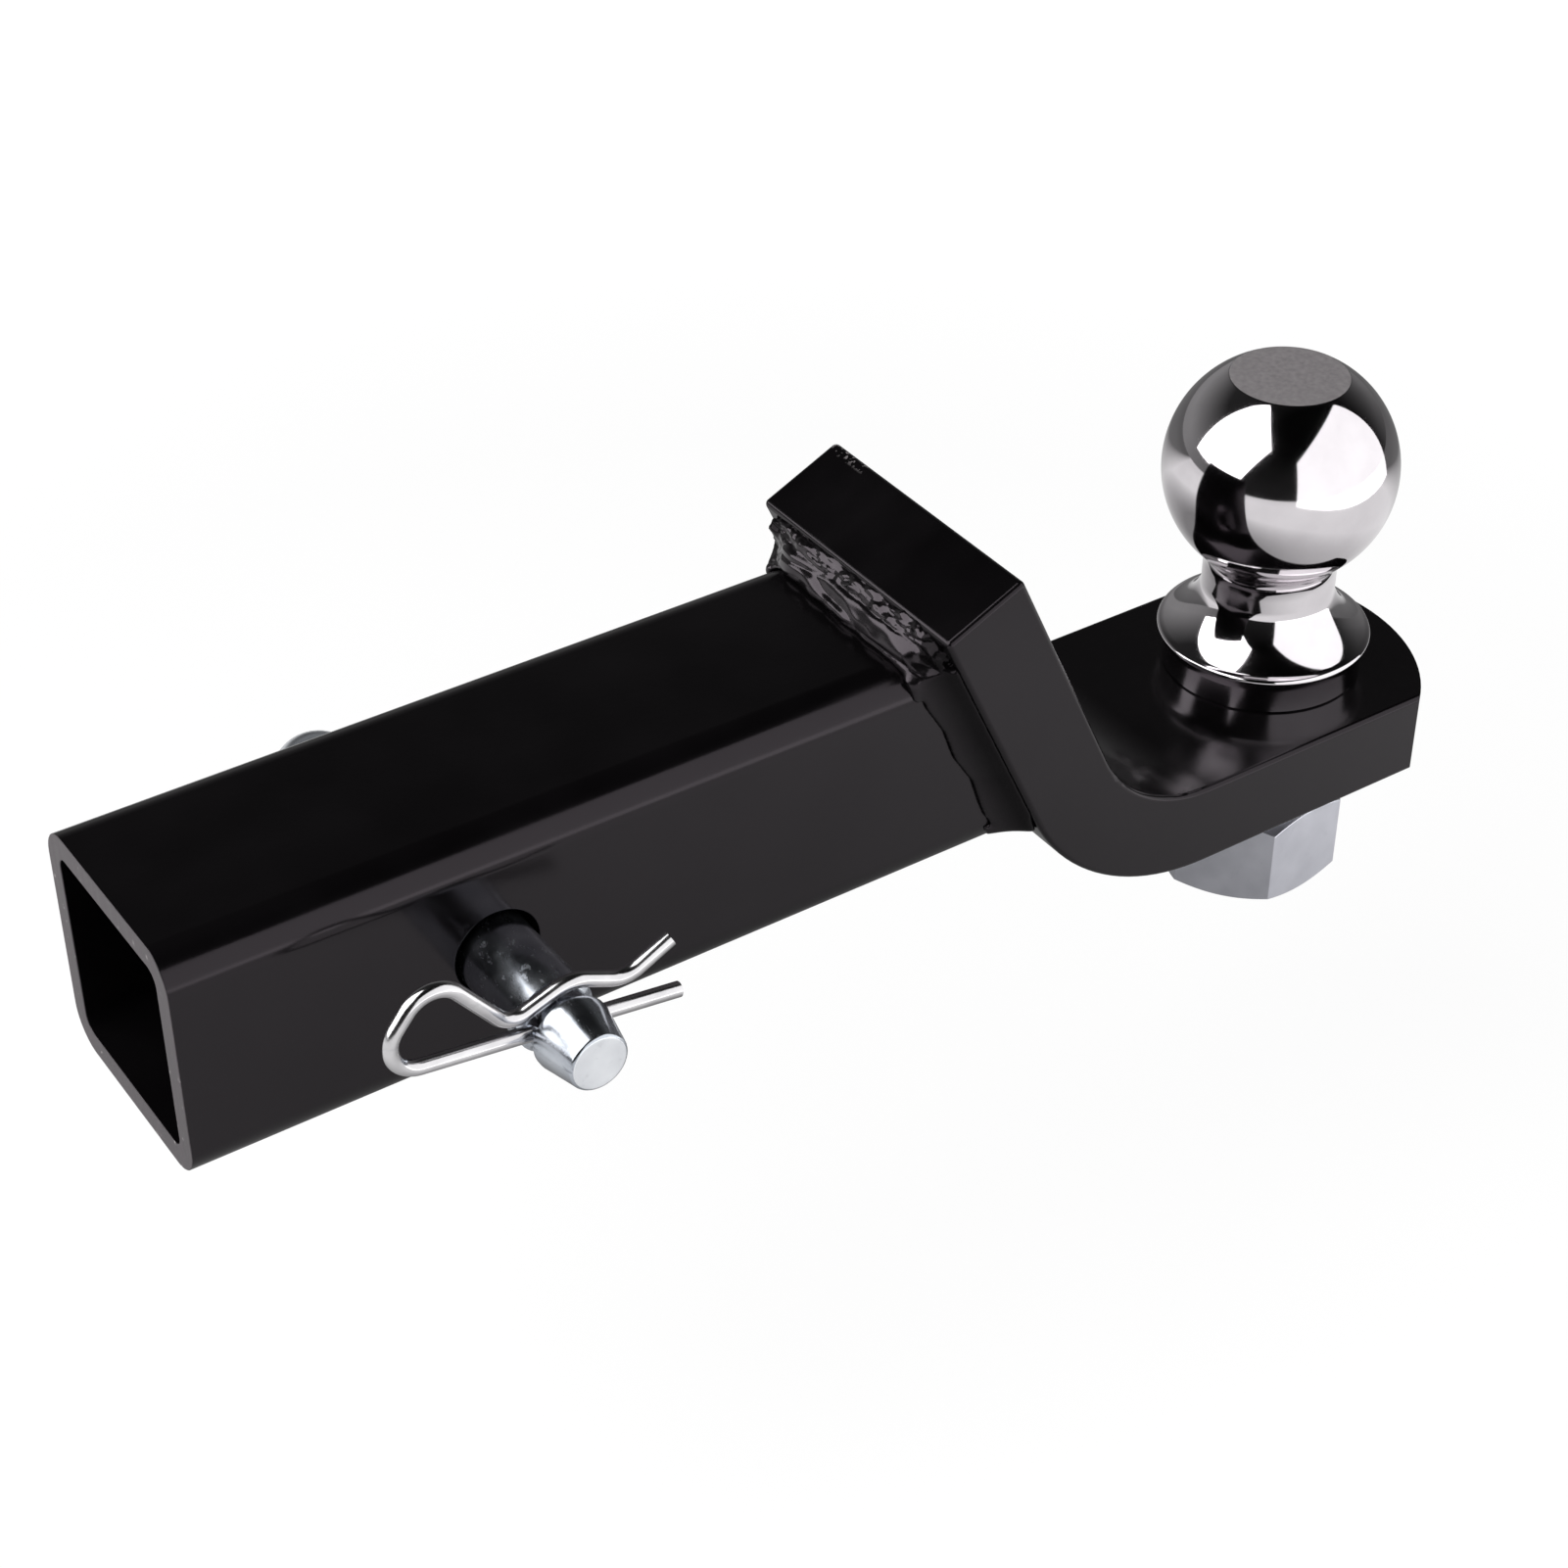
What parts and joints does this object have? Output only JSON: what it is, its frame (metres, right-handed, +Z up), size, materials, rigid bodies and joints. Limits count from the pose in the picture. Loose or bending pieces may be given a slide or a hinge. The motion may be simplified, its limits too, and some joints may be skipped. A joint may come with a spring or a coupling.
{
  "type": "trailer hitch ball mount",
  "caption": "Square towing shank welded to a bent drop plate that carries a chrome hitch ball, with a bent cross pin and a hairpin clip.",
  "frame": {"origin": "where the pin hole's axis crosses the shank's centre line", "axes": "+X along the shank towards the ball, +Y towards the pin's handle, +Z up"},
  "size_m": [0.3053, 0.1229, 0.1256],
  "materials": {
    "black_powder_coat": "gloss black powder coat",
    "polished_chrome": "mirror chrome plate",
    "zinc_plate": "satin bright zinc plate",
    "bright_wire": "bright drawn wire"
  },
  "bodies": {
    "mount": {"shank_tube": "black_powder_coat", "drop_plate": "black_powder_coat", "weld_top": "black_powder_coat", "weld_bottom": "black_powder_coat", "weld_near_side": "black_powder_coat", "weld_far_side": "black_powder_coat", "hitch_ball": "polished_chrome", "lock_washer": "zinc_plate", "hex_nut": "zinc_plate"},
    "pin": {"hitch_pin": "zinc_plate"},
    "clip": {"r_clip": "bright_wire"}
  },
  "joints": [
    {"name": "pin_slide", "type": "slide", "parent": "mount", "child": "pin", "axis": [0, 1, 0], "range_m": [-0.0135, 0.0213]},
    {"name": "clip_pull", "type": "slide", "parent": "pin", "child": "clip", "axis": [-0.9903, 0, 0.1392], "range_m": [0, 0.031], "deforming": ["r_clip"]}
  ]
}
